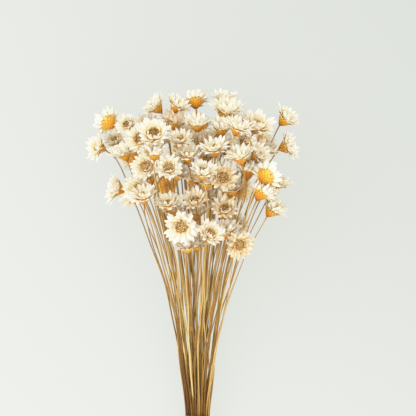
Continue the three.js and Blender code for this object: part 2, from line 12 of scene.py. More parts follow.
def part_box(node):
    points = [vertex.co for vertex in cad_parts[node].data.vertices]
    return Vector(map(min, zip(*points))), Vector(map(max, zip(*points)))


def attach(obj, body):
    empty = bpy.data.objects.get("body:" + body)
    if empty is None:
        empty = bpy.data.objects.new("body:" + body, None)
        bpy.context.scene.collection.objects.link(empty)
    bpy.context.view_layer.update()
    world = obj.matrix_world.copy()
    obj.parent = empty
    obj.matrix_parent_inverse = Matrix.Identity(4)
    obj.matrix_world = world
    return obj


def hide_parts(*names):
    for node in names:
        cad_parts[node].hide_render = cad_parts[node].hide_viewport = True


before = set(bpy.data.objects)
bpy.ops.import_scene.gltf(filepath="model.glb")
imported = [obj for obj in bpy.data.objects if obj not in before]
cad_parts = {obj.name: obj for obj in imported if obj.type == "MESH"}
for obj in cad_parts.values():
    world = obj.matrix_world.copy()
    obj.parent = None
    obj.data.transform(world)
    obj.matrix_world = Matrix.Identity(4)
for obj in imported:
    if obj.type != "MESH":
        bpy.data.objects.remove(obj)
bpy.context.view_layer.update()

MM = 0.001
FULL_TURN = 2 * math.pi
ANY_TURN = (0, 6.28)  # radians, the range of a random turn
TIE = "raffia_tie"

# ---------- Reading the flowers from the frame ----------

# What the CAD heads measure for a flower of scale 1, which is how scene and frame agree.
CAD_DISC_RADIUS = 3.2 * MM
CAD_DISC_HEIGHT = 6.0 * MM
CAD_PAIR_OFFSET = 0.36 * MM  # from the middle of a pair to each of its stems, in the tie

MERGE_DIGITS = 6  # points that agree to this many digits are one point
SMALLEST_CROSS = 1e-15  # keeps a sliver's direction from being divided by zero
SAME_PLANE = 0.99999  # cosine between two triangles of one flat face
SMALLEST_DISC_AREA = 14 * MM * MM
WIDEST_DISC_RADIUS = 4.5 * MM
SHORTEST_LONG_EDGE = 0.85 * MM  # edges round a stem are shorter, edges along it are longer
FEWEST_RING_CORNERS = 4
RING_GAP = 1 * MM  # the rings of a stem are further apart than this
CUT_END_DEPTH = 20 * MM  # the cut ends are further below the tie than this
TIE_SLICE = 0.5 * MM  # a stem's corners lie this close to the tie's upper and lower edges


def merged_mesh(node):
    """A CAD node's vertices with doubles merged, and its triangles."""
    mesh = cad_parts[node].data
    mesh.calc_loop_triangles()
    points = np.array([v.co for v in mesh.vertices])
    triangles = np.array([t.vertices for t in mesh.loop_triangles])
    points, inverse = np.unique(np.round(points, MERGE_DIGITS), axis=0, return_inverse=True)
    triangles = inverse.reshape(-1)[triangles]
    return points, triangles[[len(set(t)) == 3 for t in triangles]]


def find_neighbours(triangles):
    """For each triangle, the ones that share an edge with it."""
    by_edge = {}
    for index, triangle in enumerate(triangles):
        for a, b in zip(triangle, np.roll(triangle, -1)):
            by_edge.setdefault((min(a, b), max(a, b)), []).append(index)
    neighbours = [[] for _ in triangles]
    for shared in by_edge.values():
        for a in shared:
            neighbours[a] += [b for b in shared if b != a]
    return neighbours


def flat_region(start, normals, neighbours, seen):
    """The triangles round the first one that lie in its plane. They are added to the seen ones."""
    region, stack = [], [start]
    seen.add(start)
    while stack:
        a = stack.pop()
        region.append(a)
        for b in neighbours[a]:
            if b not in seen and normals[b] @ normals[start] > SAME_PLANE:
                seen.add(b)
                stack.append(b)
    return region


def find_discs(points, triangles):
    """The flat face of each flower: its middle, the direction it looks in and its radius."""
    corners = points[triangles]
    crosses = np.cross(corners[:, 1] - corners[:, 0], corners[:, 2] - corners[:, 0])
    doubled = np.linalg.norm(crosses, axis=1)
    normals = crosses / np.maximum(doubled, SMALLEST_CROSS)[:, None]
    neighbours = find_neighbours(triangles)
    discs, seen = [], set()
    for start in np.argsort(-doubled):
        if start in seen:
            continue
        region = flat_region(start, normals, neighbours, seen)
        weights = doubled[region]
        if weights.sum() / 2 < SMALLEST_DISC_AREA:
            continue
        rim = points[np.unique(triangles[region])]
        middle = (corners[region].mean(axis=1) * weights[:, None]).sum(axis=0) / weights.sum()
        radius = np.linalg.norm(rim - middle, axis=1).max()
        if radius < WIDEST_DISC_RADIUS:
            discs.append((Vector(middle), Vector(normals[start]), radius))
    return discs


def find_rings(points, triangles):
    """The rings of corners round a stem at each of its steps: the middle of each ring, and which
    other rings it meets."""
    parent = list(range(len(points)))

    def top(a):
        while parent[a] != a:
            parent[a] = parent[parent[a]]
            a = parent[a]
        return a

    edges = {tuple(sorted((t[i], t[i - 1]))) for t in triangles.tolist() for i in range(3)}
    for a, b in edges:
        if np.linalg.norm(points[a] - points[b]) < SHORTEST_LONG_EDGE:
            parent[top(a)] = top(b)
    rings = {}
    for a in range(len(points)):
        rings.setdefault(top(a), []).append(a)
    rings = {key: members for key, members in rings.items() if len(members) >= FEWEST_RING_CORNERS}
    meets = {key: set() for key in rings}
    for a, b in edges:
        ring_a, ring_b = top(a), top(b)
        if ring_a != ring_b and ring_a in rings and ring_b in rings:
            meets[ring_a].add(ring_b)
            meets[ring_b].add(ring_a)
    centres = {
        key: Vector((points[members].min(axis=0) + points[members].max(axis=0)) / 2)
        for key, members in rings.items()
    }
    return centres, meets


def stem_above_tie(foot, centres, meets, tie_high_y):
    """Where a stem runs, from the foot of its head down to just above the tie."""
    path = [foot]
    ring = min(centres, key=lambda key: (centres[key] - foot).length)
    while True:
        lowest, highest = tie_high_y + RING_GAP, path[-1].y - RING_GAP
        lower = [key for key in meets[ring] if lowest < centres[key].y < highest]
        if not lower:
            return path
        ring = max(lower, key=lambda key: centres[key].y)
        path.append(centres[ring])


def read_flowers(node, tie_low_y, tie_high_y):
    """Each flower of a node: where its stem runs, from the cut end to the foot of its head, the
    direction that its head looks in and its size."""
    points, triangles = merged_mesh(node)
    centres, meets = find_rings(points, triangles)
    flowers = []
    for middle, look, radius in find_discs(points, triangles):
        scale = radius / CAD_DISC_RADIUS
        foot = middle - look * CAD_DISC_HEIGHT * scale
        path = stem_above_tie(foot, centres, meets, tie_high_y)
        flowers.append({"look": look, "scale": scale, "foot": foot, "path": path})
    flowers.sort(key=lambda flower: flower["foot"].x)
    ends = [centre for centre in centres.values() if centre.y < tie_low_y - CUT_END_DEPTH]
    ends.sort(key=lambda end: end.x)
    for side, flower in enumerate(flowers):
        offset = 0 if len(flowers) == 1 else (2 * side - 1) * CAD_PAIR_OFFSET
        for y in (tie_high_y, tie_low_y):
            near = points[np.abs(points[:, 1] - y) < TIE_SLICE]
            centre = (near.min(axis=0) + near.max(axis=0)) / 2
            flower["path"].append(Vector((centre[0] + offset, y, centre[2])))
        flower["path"].append(ends[side])
        flower["path"].reverse()
    return flowers


tie_low, tie_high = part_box(TIE)
tie_middle = (tie_low + tie_high) / 2
flower_nodes = [name for name in sorted(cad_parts) if name != TIE]
flowers_of = {name: read_flowers(name, tie_low.y, tie_high.y) for name in flower_nodes}
print("flowers read from the frame:", sum(len(found) for found in flowers_of.values()))

# ---------- Camera ----------

# The photograph's frame is 416 pixels square at half a millimetre a pixel. The camera looks
# straight down on the laid bunch, with the flowers up and the tie at the lower edge of the view.
FIELD = 208 * MM
VIEW_MIDDLE = Vector((5.5 * MM, 105.6 * MM))  # from the middle of the tie's upper edge
VIEW_HEIGHT = 45 * MM  # the height at which the field is measured
CAMERA_DISTANCE = 4.0
SENSOR_MM = 36.0

camera_data = bpy.data.cameras.new("camera")
camera_data.sensor_width = SENSOR_MM
camera_data.lens = SENSOR_MM * CAMERA_DISTANCE / FIELD
camera_data.clip_end = 5 * CAMERA_DISTANCE
camera = bpy.data.objects.new("camera", camera_data)
bpy.context.scene.collection.objects.link(camera)
camera.location = (
    tie_middle.x + VIEW_MIDDLE.x,
    tie_high.y + VIEW_MIDDLE.y,
    VIEW_HEIGHT + CAMERA_DISTANCE,
)
bpy.context.scene.camera = camera

# Bright light is rolled off softly, as a photograph does, so that white petals keep their shading.
# The curve gives what a share of the brightest light shows as.
BRIGHTEST = 2.2  # the scene light that shows as white
ROLL_OFF = [(0.22, 0.484), (0.32, 0.69), (0.42, 0.85), (0.52, 0.935), (0.7, 0.98)]
ALL_CHANNELS = 3  # the curve that red, green and blue share

view_settings = bpy.context.scene.view_settings
view_settings.view_transform = "Standard"
view_settings.use_curve_mapping = True
view_settings.curve_mapping.white_level = (BRIGHTEST, BRIGHTEST, BRIGHTEST)
for light, shown in ROLL_OFF:
    view_settings.curve_mapping.curves[ALL_CHANNELS].points.new(light, shown)
view_settings.curve_mapping.update()

# ---------- Materials ----------

MIX_FACTOR, MIX_A, MIX_B, MIX_RESULT = 0, 6, 7, 2  # sockets of a node that mixes colours


class Nodes:
    """Short calls for building one material's node tree."""

    def __init__(self, name):
        self.material = bpy.data.materials.new(name)
        self.material.use_nodes = True
        self.tree = self.material.node_tree
        self.tree.nodes.clear()
        self.shader = self.add("ShaderNodeBsdfPrincipled")
        output = self.add("ShaderNodeOutputMaterial")
        self.feed(self.shader.outputs["BSDF"], output.inputs["Surface"])

    def add(self, kind, **settings):
        node = self.tree.nodes.new(kind)
        for key, value in settings.items():
            setattr(node, key, value)
        return node

    def feed(self, value, socket):
        """Links a value's socket to this one, or sets this one to a colour or a number."""
        if isinstance(value, bpy.types.NodeSocket):
            self.tree.links.new(value, socket)
        elif isinstance(value, tuple):
            socket.default_value = (*value, 1)
        else:
            socket.default_value = value

    def place(self):
        """The place in metres."""
        return self.add("ShaderNodeTexCoord").outputs["Object"]

    def grain(self):
        """The attribute "grain" of each point: as one vector, and then its three numbers."""
        attribute = self.add("ShaderNodeAttribute", attribute_name="grain")
        split = self.add("ShaderNodeSeparateColor")
        self.feed(attribute.outputs["Color"], split.inputs["Color"])
        return [attribute.outputs["Vector"], *split.outputs]

    def stretched(self, vector, scale):
        """A vector with each of its numbers multiplied."""
        mapping = self.add("ShaderNodeMapping")
        mapping.inputs["Scale"].default_value = scale
        self.feed(vector, mapping.inputs["Vector"])
        return mapping.outputs["Vector"]

    def noise(self, vector, scale, detail):
        node = self.add("ShaderNodeTexNoise")
        node.inputs["Scale"].default_value = scale
        node.inputs["Detail"].default_value = detail
        self.feed(vector, node.inputs["Vector"])
        return node.outputs["Fac"]

    def ramp(self, source, stops):
        node = self.add("ShaderNodeValToRGB")
        elements = node.color_ramp.elements
        while len(elements) < len(stops):
            elements.new(0.5)
        for element, (position, colour) in zip(elements, stops):
            element.position = position
            element.color = (*colour, 1)
        self.feed(source, node.inputs["Fac"])
        return node.outputs["Color"]

    def mix(self, factor, a, b, blend="MIX"):
        node = self.add("ShaderNodeMix", data_type="RGBA", blend_type=blend)
        for value, socket in ((factor, MIX_FACTOR), (a, MIX_A), (b, MIX_B)):
            self.feed(value, node.inputs[socket])
        return node.outputs[MIX_RESULT]

    def tint(self, body, colour, strength=1.0):
        """The body's colour multiplied by another, as far as the strength says."""
        return self.mix(strength, body, colour, "MULTIPLY")

    def math(self, operation, *values):
        node = self.add("ShaderNodeMath", operation=operation)
        for value, socket in zip(values, node.inputs):
            self.feed(value, socket)
        return node.outputs["Value"]

    def bump(self, height, strength, distance):
        node = self.add("ShaderNodeBump")
        node.inputs["Strength"].default_value = strength
        node.inputs["Distance"].default_value = distance
        self.feed(height, node.inputs["Height"])
        self.feed(node.outputs["Normal"], self.shader.inputs["Normal"])

    def colour(self, socket):
        self.feed(socket, self.shader.inputs["Base Color"])


def srgb(red, green, blue):
    """A colour picked on screen, 0 to 255, as the linear light that shaders work in."""
    linear = []
    for value in (red, green, blue):
        share = value / 255
        linear.append(share / 12.92 if share < 0.04045 else ((share + 0.055) / 1.055) ** 2.4)
    return tuple(linear)


BLACK = (0, 0, 0)
WHITE = (1, 1, 1)


def bract_material():
    """Papery bracts: creamy at the base, white towards the tip, finely veined along their length.
    Their grain holds how far along, how far in from the edges, and a number for each bract."""
    nodes = Nodes("bract_paper")
    vector, along, _, each = nodes.grain()
    body = nodes.ramp(
        along,
        [
            (0.0, srgb(236, 178, 84)),
            (0.14, srgb(247, 220, 162)),
            (0.34, srgb(251, 241, 220)),
            (0.62, srgb(253, 250, 241)),
            (0.9, srgb(252, 250, 246)),
        ],
    )
    # The tan that a bract's number carries is partly its head's own and partly painted shade.
    own = nodes.ramp(each, [(0.0, WHITE), (0.5, srgb(253, 249, 241)), (1.0, srgb(235, 217, 196))])
    body = nodes.tint(body, own)
    veins = nodes.noise(nodes.stretched(vector, (1.4, 7, 60)), scale=1.0, detail=4.0)
    shade = nodes.ramp(veins, [(0.36, srgb(236, 226, 204)), (0.6, WHITE)])
    nodes.colour(nodes.tint(body, shade, strength=0.55))
    nodes.bump(veins, strength=0.5, distance=0.12 * MM)
    nodes.shader.inputs["Roughness"].default_value = 0.75
    nodes.shader.inputs["Specular IOR Level"].default_value = 0.2
    nodes.shader.inputs["Subsurface Weight"].default_value = 0.6
    nodes.shader.inputs["Subsurface Radius"].default_value = (1.0, 0.9, 0.7)
    nodes.shader.inputs["Subsurface Scale"].default_value = 0.3 * MM
    nodes.shader.inputs["Sheen Weight"].default_value = 0.15
    return nodes.material


def cone_material():
    """The scales under a head: golden near the rim and orange-brown at the foot, with painted
    shade between the scales and a painted highlight on their tips. Their grain holds how far up
    the cone, how far a scale stands off, and a number for each."""
    nodes = Nodes("cone_scales")
    _, along, lift, each = nodes.grain()
    body = nodes.ramp(
        along,
        [
            (0.0, srgb(176, 112, 18)),
            (0.3, srgb(230, 164, 32)),
            (0.6, srgb(252, 196, 58)),
            (0.85, srgb(255, 214, 92)),
            (1.0, srgb(255, 234, 178)),
        ],
    )
    own = nodes.ramp(
        each,
        [(0.0, srgb(255, 255, 250)), (0.5, srgb(240, 226, 206)), (1.0, srgb(196, 164, 132))],
    )
    body = nodes.tint(body, own)
    # Painted shade: darker where the scales stand off least, down between them, and at the edges
    # of the collar's bracts.
    between = nodes.ramp(
        lift,
        [
            (0.2, srgb(170, 144, 118)),
            (0.5, srgb(212, 194, 168)),
            (0.8, srgb(250, 244, 232)),
            (1.0, WHITE),
        ],
    )
    body = nodes.tint(body, between)
    blotches = nodes.noise(nodes.place(), scale=650.0, detail=3.0)
    blotch = nodes.ramp(blotches, [(0.48, BLACK), (0.66, WHITE)])
    body = nodes.mix(nodes.math("MULTIPLY", blotch, 0.65), body, srgb(178, 112, 18))
    # Painted highlight: lighter on the tips of the scales, and along the middle of the collar's
    # bracts.
    tip = nodes.ramp(lift, [(0.82, BLACK), (0.98, WHITE)])
    nodes.colour(nodes.mix(nodes.math("MULTIPLY", tip, 0.6), body, srgb(255, 222, 112)))
    nodes.bump(blotches, strength=0.35, distance=0.1 * MM)
    nodes.shader.inputs["Roughness"].default_value = 0.48
    nodes.shader.inputs["Specular IOR Level"].default_value = 0.3
    return nodes.material


def disc_material():
    """The florets of a disc: tan and cream tops, brown ones among them and brown between them.
    Their grain holds how high on a floret, how far out on the disc, and a number for each."""
    nodes = Nodes("disc_florets")
    _, height, _, each = nodes.grain()
    top = nodes.ramp(
        each,
        [
            (0.0, srgb(248, 236, 202)),
            (0.38, srgb(230, 206, 150)),
            (0.7, srgb(200, 168, 106)),
            (0.86, srgb(140, 104, 54)),
            (1.0, srgb(86, 58, 28)),
        ],
    )
    body = nodes.mix(height, srgb(152, 116, 60), top)
    speckle = nodes.noise(nodes.place(), scale=2600.0, detail=2.0)
    nodes.colour(nodes.mix(nodes.math("MULTIPLY", speckle, 0.3), body, srgb(172, 136, 76)))
    nodes.bump(speckle, strength=0.5, distance=0.12 * MM)
    nodes.shader.inputs["Roughness"].default_value = 0.75
    return nodes.material


def stem_material():
    """Dry straw stems, each of its own tone, with fine ribs and slow changes of colour along them.
    Their grain holds how far along, how far round, and a number for each stem."""
    nodes = Nodes("straw_stem")
    vector, along, _, each = nodes.grain()
    body = nodes.ramp(
        each,
        [
            (0.0, srgb(250, 236, 196)),
            (0.22, srgb(232, 206, 144)),
            (0.5, srgb(196, 160, 92)),
            (0.72, srgb(150, 114, 56)),
            (0.88, srgb(112, 82, 36)),
            (1.0, srgb(84, 58, 24)),
        ],
    )
    # How olive a stem is comes from the later digits of its number, so it doesn't follow its tone.
    olive = nodes.math("FRACT", nodes.math("MULTIPLY", each, 7.3))
    body = nodes.tint(body, srgb(230, 242, 232), strength=nodes.math("MULTIPLY", olive, 0.6))
    # The stems are pale below the tie, and dark just above it where they shade each other.
    shaded = nodes.ramp(
        along,
        [(0.45, srgb(252, 240, 212)), (0.48, srgb(180, 146, 90)), (0.66, WHITE)],
    )
    body = nodes.tint(body, shaded)
    # Towards the heads they turn brown.
    neck = nodes.ramp(along, [(0.62, BLACK), (0.82, (0.6, 0.6, 0.6))])
    body = nodes.mix(neck, body, srgb(186, 152, 96))
    slow = nodes.noise(nodes.stretched(vector, (18, 3, 50)), scale=1.0, detail=4.0)
    fine = nodes.noise(nodes.stretched(vector, (30, 7, 50)), scale=1.0, detail=3.0)
    patch = nodes.ramp(slow, [(0.35, srgb(212, 188, 146)), (0.65, srgb(255, 252, 240))])
    body = nodes.tint(body, patch, strength=0.8)
    rib = nodes.ramp(fine, [(0.36, srgb(170, 142, 100)), (0.6, WHITE)])
    nodes.colour(nodes.tint(body, rib, strength=0.6))
    nodes.bump(fine, strength=0.4, distance=0.1 * MM)
    nodes.shader.inputs["Roughness"].default_value = 0.5
    nodes.shader.inputs["Specular IOR Level"].default_value = 0.25
    return nodes.material


def raffia_material():
    """The raffia strip: tan fibres that run along it. Its grain holds how far along and round."""
    nodes = Nodes("raffia_strip")
    vector = nodes.grain()[0]
    fibres = nodes.noise(nodes.stretched(vector, (6, 34, 20)), scale=1.0, detail=5.0)
    nodes.colour(
        nodes.ramp(
            fibres,
            [(0.25, srgb(142, 104, 56)), (0.5, srgb(186, 148, 92)), (0.75, srgb(222, 192, 138))],
        )
    )
    nodes.bump(fibres, strength=0.8, distance=0.2 * MM)
    nodes.shader.inputs["Roughness"].default_value = 0.72
    return nodes.material


# The surface's own light goes by the sum of x and y in metres, so it fades to the upper right.
SURFACE_FADE = {"From Min": -0.1, "From Max": 0.3, "To Min": 0.755, "To Max": 0.58}


def surface_material():
    """The pale surface: mostly its own light, and just enough colour to show a faint shadow."""
    nodes = Nodes("pale_surface")
    mottle = nodes.noise(nodes.place(), scale=3.0, detail=3.0)
    nodes.colour(nodes.ramp(mottle, [(0.3, (0.085, 0.09, 0.1)), (0.7, (0.09, 0.095, 0.105))]))
    nodes.shader.inputs["Roughness"].default_value = 0.9
    nodes.shader.inputs["Emission Color"].default_value = (0.95, 1.0, 0.912, 1)
    split = nodes.add("ShaderNodeSeparateXYZ")
    nodes.feed(nodes.place(), split.inputs["Vector"])
    fade = nodes.add("ShaderNodeMapRange")
    nodes.feed(nodes.math("ADD", split.outputs["X"], split.outputs["Y"]), fade.inputs["Value"])
    for name, value in SURFACE_FADE.items():
        nodes.feed(value, fade.inputs[name])
    nodes.feed(fade.outputs["Result"], nodes.shader.inputs["Emission Strength"])
    return nodes.material


MATERIALS = {
    "bracts": bract_material(),
    "cone": cone_material(),
    "disc": disc_material(),
    "stem": stem_material(),
    "raffia": raffia_material(),
}

# ---------- Building meshes ----------


class MeshData:
    """Collects points, faces and a grain value per point, for one piece."""

    def __init__(self):
        self.points, self.faces, self.grain, self.count = [], [], [], 0

    def add(self, points, faces, grain):
        """Adds one closed body. Its faces count from its own first point."""
        self.points.append(points)
        self.grain.append(grain)
        self.faces += [tuple(index + self.count for index in face) for face in faces]
        self.count += len(points)

    def make(self, name, slot, nodes):
        """The finished piece, which takes the place of the named CAD nodes."""
        mesh = bpy.data.meshes.new(name)
        mesh.from_pydata(np.concatenate(self.points).tolist(), [], self.faces)
        colours = mesh.attributes.new("grain", "FLOAT_COLOR", "POINT")
        values = np.concatenate(self.grain)
        values = np.concatenate([values, np.ones((len(values), 1))], axis=1)
        colours.data.foreach_set("color", values.astype(np.float32).ravel())
        mesh.polygons.foreach_set("use_smooth", [True] * len(mesh.polygons))
        mesh.materials.append(MATERIALS[slot])
        piece = bpy.data.objects.new(name, mesh)
        bpy.context.scene.collection.objects.link(piece)
        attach(piece, "root")
        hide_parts(*nodes)


def grid_faces(rows, columns, closed=False):
    """Quads of a grid whose points run row by row."""
    faces = []
    for row in range(rows - 1):
        for column in range(columns if closed else columns - 1):
            a = row * columns + column
            b = row * columns + (column + 1) % columns
            faces.append((a, b, b + columns, a + columns))
    return faces


def tube_faces(rows, sides):
    """The wall and the two flat ends of a tube whose rings of points run row by row."""
    faces = [face[::-1] for face in grid_faces(rows, sides, closed=True)]
    last = (rows - 1) * sides
    faces.append(tuple(range(sides)))
    faces.append(tuple(last + sides - 1 - side for side in range(sides)))
    return faces


def row_by_row(columns):
    """Columns of points, or of grain, as one list that runs row by row."""
    return np.stack(columns, axis=1).reshape(-1, 3)


CURVE_STEPS = 24  # steps between two of the given points, before they are spread evenly


def smooth_curve(points, samples):
    """Points evenly spread along a smooth curve through the given points."""
    points = [Vector(p) for p in points]
    ends = [points[0] * 2 - points[1], *points, points[-1] * 2 - points[-2]]
    dense = []
    for i in range(1, len(ends) - 2):
        p0, p1, p2, p3 = ends[i - 1 : i + 3]
        t1 = (p1 - p0).length ** 0.5
        t2 = t1 + (p2 - p1).length ** 0.5
        t3 = t2 + (p3 - p2).length ** 0.5
        for step in range(CURVE_STEPS):
            t = t1 + (t2 - t1) * step / CURVE_STEPS
            a1 = p0 * ((t1 - t) / t1) + p1 * (t / t1)
            a2 = p1 * ((t2 - t) / (t2 - t1)) + p2 * ((t - t1) / (t2 - t1))
            a3 = p2 * ((t3 - t) / (t3 - t2)) + p3 * ((t - t2) / (t3 - t2))
            b1 = a1 * ((t2 - t) / t2) + a2 * (t / t2)
            b2 = a2 * ((t3 - t) / (t3 - t1)) + a3 * ((t - t1) / (t3 - t1))
            dense.append(b1 * ((t2 - t) / (t2 - t1)) + b2 * ((t - t1) / (t2 - t1)))
    dense.append(points[-1])
    dense = np.array(dense)
    lengths = np.concatenate([[0], np.cumsum(np.linalg.norm(np.diff(dense, axis=0), axis=1))])
    wanted = np.linspace(0, lengths[-1], samples)
    return np.stack([np.interp(wanted, lengths, dense[:, axis]) for axis in range(3)], axis=1)


def frames_along(points):
    """Two directions across the curve at each of its points, turning as little as possible."""
    tangents = np.gradient(points, axis=0)
    tangents /= np.linalg.norm(tangents, axis=1)[:, None]
    side = np.cross(tangents[0], (0, 0, 1))
    side /= np.linalg.norm(side)
    sides = []
    for tangent in tangents:
        side = side - tangent * (side @ tangent)
        side /= np.linalg.norm(side)
        sides.append(side)
    sides = np.array(sides)
    return sides, np.cross(tangents, sides)


# ---------- Stems ----------

# The radius in millimetres from the cut end to the head, for a stem of average thickness.
STEM_TAPER = ([0, 0.35, 0.55, 0.75, 0.97, 1], [0.5, 0.46, 0.39, 0.34, 0.27, 0.42])
STEM_THICKNESS = (0.84, 1.12)  # from the thinnest stem to the thickest
STEM_INTO_HEAD = 0.5 * MM
STEM_TWIST = (-3, 3)  # radians over its length
STEM_SIDES = 8
STEM_SAMPLES = 64
RIB_DEPTH = 0.07  # of the radius
KNOT_DEPTH = 0.05  # of the radius
KNOT_WAVES = (20, 60)  # how quickly the radius swells and shrinks, in radians over the length
KNOT_LAYERS = 3

# The small bends of a stem are waves, from one over its free length to a few.
BEND_SIZE = 0.9 * MM
BEND_SPREAD = (0.3, 1)
BEND_WAVES = (1.0, 2.3, 4.1)
BEND_FALL = 0.7  # how much smaller the quicker waves are
BEND_ONSET = 0.7  # below 1 the bends set in quickly above the tie and below the head


def wander(points, chance):
    """Small bends between the tie and the head, as dry stems have; none at the head or the tie."""
    free = np.clip((points[:, 1] - tie_high.y) / (points[-1, 1] - tie_high.y), 0, 1)
    room = np.sin(math.pi * free) ** BEND_ONSET
    bends = np.zeros_like(points)
    for axis in (0, 2):
        for waves in BEND_WAVES:
            phase = chance.uniform(*ANY_TURN)
            size = BEND_SIZE * chance.uniform(*BEND_SPREAD) / waves**BEND_FALL
            bends[:, axis] += size * np.sin(FULL_TURN * waves * free + phase)
    return bends * room[:, None]


def add_stem(data, flower, chance):
    """A dry stem: a ribbed tube, a little thinner under the head, with a small collar there."""
    path = [*flower["path"][:-1], flower["foot"] + flower["look"] * STEM_INTO_HEAD]
    points = smooth_curve(path, STEM_SAMPLES)
    share = np.linspace(0, 1, STEM_SAMPLES)
    points += wander(points, chance)
    sides, ups = frames_along(points)
    radius = chance.uniform(*STEM_THICKNESS) * MM * np.interp(share, *STEM_TAPER)
    knots = sum(
        KNOT_DEPTH * np.sin(share * chance.uniform(*KNOT_WAVES) + chance.uniform(*ANY_TURN))
        for _ in range(KNOT_LAYERS)
    )
    radius = radius * (1 + knots)
    turn = chance.uniform(*ANY_TURN)
    twist = chance.uniform(*STEM_TWIST)
    each = chance.random()
    columns, grain = [], []
    for k in range(STEM_SIDES):
        angle = turn + twist * share + k / STEM_SIDES * FULL_TURN
        rib = 1 + RIB_DEPTH * (1 if k % 2 else -1)
        offset = np.cos(angle)[:, None] * sides + np.sin(angle)[:, None] * ups
        columns.append(points + offset * (radius * rib)[:, None])
        around = np.full(STEM_SAMPLES, abs(2 * k / STEM_SIDES - 1))
        grain.append(np.stack([share, around, np.full(STEM_SAMPLES, each)], axis=1))
    data.add(row_by_row(columns), tube_faces(STEM_SAMPLES, STEM_SIDES), row_by_row(grain))


# ---------- Cones ----------

# A head is built in millimetres for scale 1, standing on its foot along +Z.
CONE_FOOT_RADIUS = 0.5
CONE_RIM_RADIUS = 3.9
CONE_HEIGHT = 4.6
CONE_SWELL = (0.78, 1.0)  # 1 is a straight cone, and less is a rounder one
CONE_CUP_FLOOR = 0.8  # height of the middle of the cone's hollow top, as a share of its height
CONE_AGE_SPREAD = 0.2
CONE_ROWS = 21
CONE_COLUMNS = 66
SCALE_ROWS = 5
SCALE_COLUMNS = 11
SCALE_REACH = 1.75  # rows that a scale covers, from its base to its tip
SCALE_START = 0.6  # rows that the lowest scales start below the foot
SCALE_LIFT = 0.42
SCALE_LIFT_AT_FOOT = 0.3  # share of the lift that the lowest scales have
SCALE_LIFT_AT_BASE = 0.15  # share of its lift that a scale has at its base
SCALE_EDGE_DROP = 0.55  # share of its lift that is lost towards its sides


def scale_lift(along, around):
    """How far a scale of the cone stands off it here, from 0 between scales to 1 at a tip."""
    best = 0.0
    for row in range(SCALE_ROWS):
        t = (along * SCALE_ROWS - row + SCALE_START) / SCALE_REACH
        across = abs((around * SCALE_COLUMNS + 0.5 * (row % 2)) % 1 - 0.5) * 2
        if 0 <= t <= 1 and across < math.sqrt(1 - t**3):
            lift = SCALE_LIFT_AT_BASE + (1 - SCALE_LIFT_AT_BASE) * t
            best = max(best, lift * (1 - SCALE_EDGE_DROP * across**2))
    return best


def add_cone(data, placed, chance, aged):
    """The cone of overlapping scales: one closed cup whose wall steps out at each scale's tip.
    aged runs from golden yellow to brown; on flower_19 it is painted light, and on flower_pair_06
    partly painted shade."""
    each = np.clip(aged + chance.uniform(-CONE_AGE_SPREAD, CONE_AGE_SPREAD), 0, 1)
    swell = chance.uniform(*CONE_SWELL)
    points, grain = [], []
    for row in range(CONE_ROWS):
        t = row / (CONE_ROWS - 1)
        radius = CONE_FOOT_RADIUS + (CONE_RIM_RADIUS - CONE_FOOT_RADIUS) * t**swell
        most = SCALE_LIFT * (SCALE_LIFT_AT_FOOT + (1 - SCALE_LIFT_AT_FOOT) * t)
        for column in range(CONE_COLUMNS):
            angle = column / CONE_COLUMNS * FULL_TURN
            lift = scale_lift(t, column / CONE_COLUMNS)
            r = radius + most * lift
            points.append((r * math.cos(angle), r * math.sin(angle), t * CONE_HEIGHT))
            grain.append((t, lift, each))
    rim = (CONE_ROWS - 1) * CONE_COLUMNS
    foot = rim + CONE_COLUMNS
    cup = foot + 1
    points += [(0, 0, 0), (0, 0, CONE_HEIGHT * CONE_CUP_FLOOR)]
    grain += [(0, 0, each), (1, 0, each)]
    faces = grid_faces(CONE_ROWS, CONE_COLUMNS, closed=True)
    for column in range(CONE_COLUMNS):
        after = (column + 1) % CONE_COLUMNS
        faces.append((foot, after, column))
        faces.append((cup, rim + column, rim + after))
    data.add(placed(np.array(points)), faces, np.array(grain))


# ---------- Bracts ----------

BRACT_ROWS = 7
BRACT_COLUMNS = 3
BRACT_THICKNESS = 0.08
BRACT_CHANNEL = 0.14  # how far the edges stand above the middle, as a share of the half width
BRACT_STRAIGHT_AT = 0.35  # where along it a curled bract still has its stated rise
# The half width along a bract, from its base to its tip.
BRACT_OUTLINE = ([0, 0.2, 0.45, 0.7, 0.88, 1], [0.52, 0.84, 1, 0.8, 0.45, 0.05])
# Rows of bracts: how many, how long, how wide, radius and height of their base, rise in degrees,
# and which stretch of the colouring they show from base to tip.
COLLAR = (21, 1.8, 1.5, 3.6, 4.0, 40, (0.7, 1.0))
BRACT_LAYERS = [
    (14, 5.3, 2.6, 3.4, 4.3, 24, (0.0, 1.0)),
    (13, 5.9, 2.8, 3.2, 4.6, 41, (0.0, 1.0)),
    (12, 5.5, 2.5, 3.0, 4.9, 60, (0.0, 1.0)),
    (10, 3.5, 2.0, 2.7, 5.1, 80, (0.0, 0.85)),
]
BRACT_CURLS = (-6, 5, 16, 27)  # degrees that each layer's bracts curl inwards; below 0 outwards
# A row's habit: degrees that it is lowered, side that it leans to, degrees that it leans, degrees
# that it curls, and how tan it is.
COLLAR_HABIT = (0, 0, 0, -10, 0.3)
OPENING = 30  # degrees between a closed head and an open one
HEAD_LEAN = (4, 16)  # degrees that the bracts of a head rise more on one side
# How much the bracts of one row differ from each other.
BRACT_SPREAD = {
    "place": (-0.3, 0.3),  # as a share of the step between two bracts
    "length": (0.76, 1.14),  # times the row's length
    "width": (0.7, 1.12),  # times the row's width
    "height": (-0.12, 0.12),
    "rise": (-8, 8),
    "curl": (-22, 22),
    "twist": (-20, 20),
}
OWN_TONE = 0.25  # how much of a bract's tone is its own and not its head's


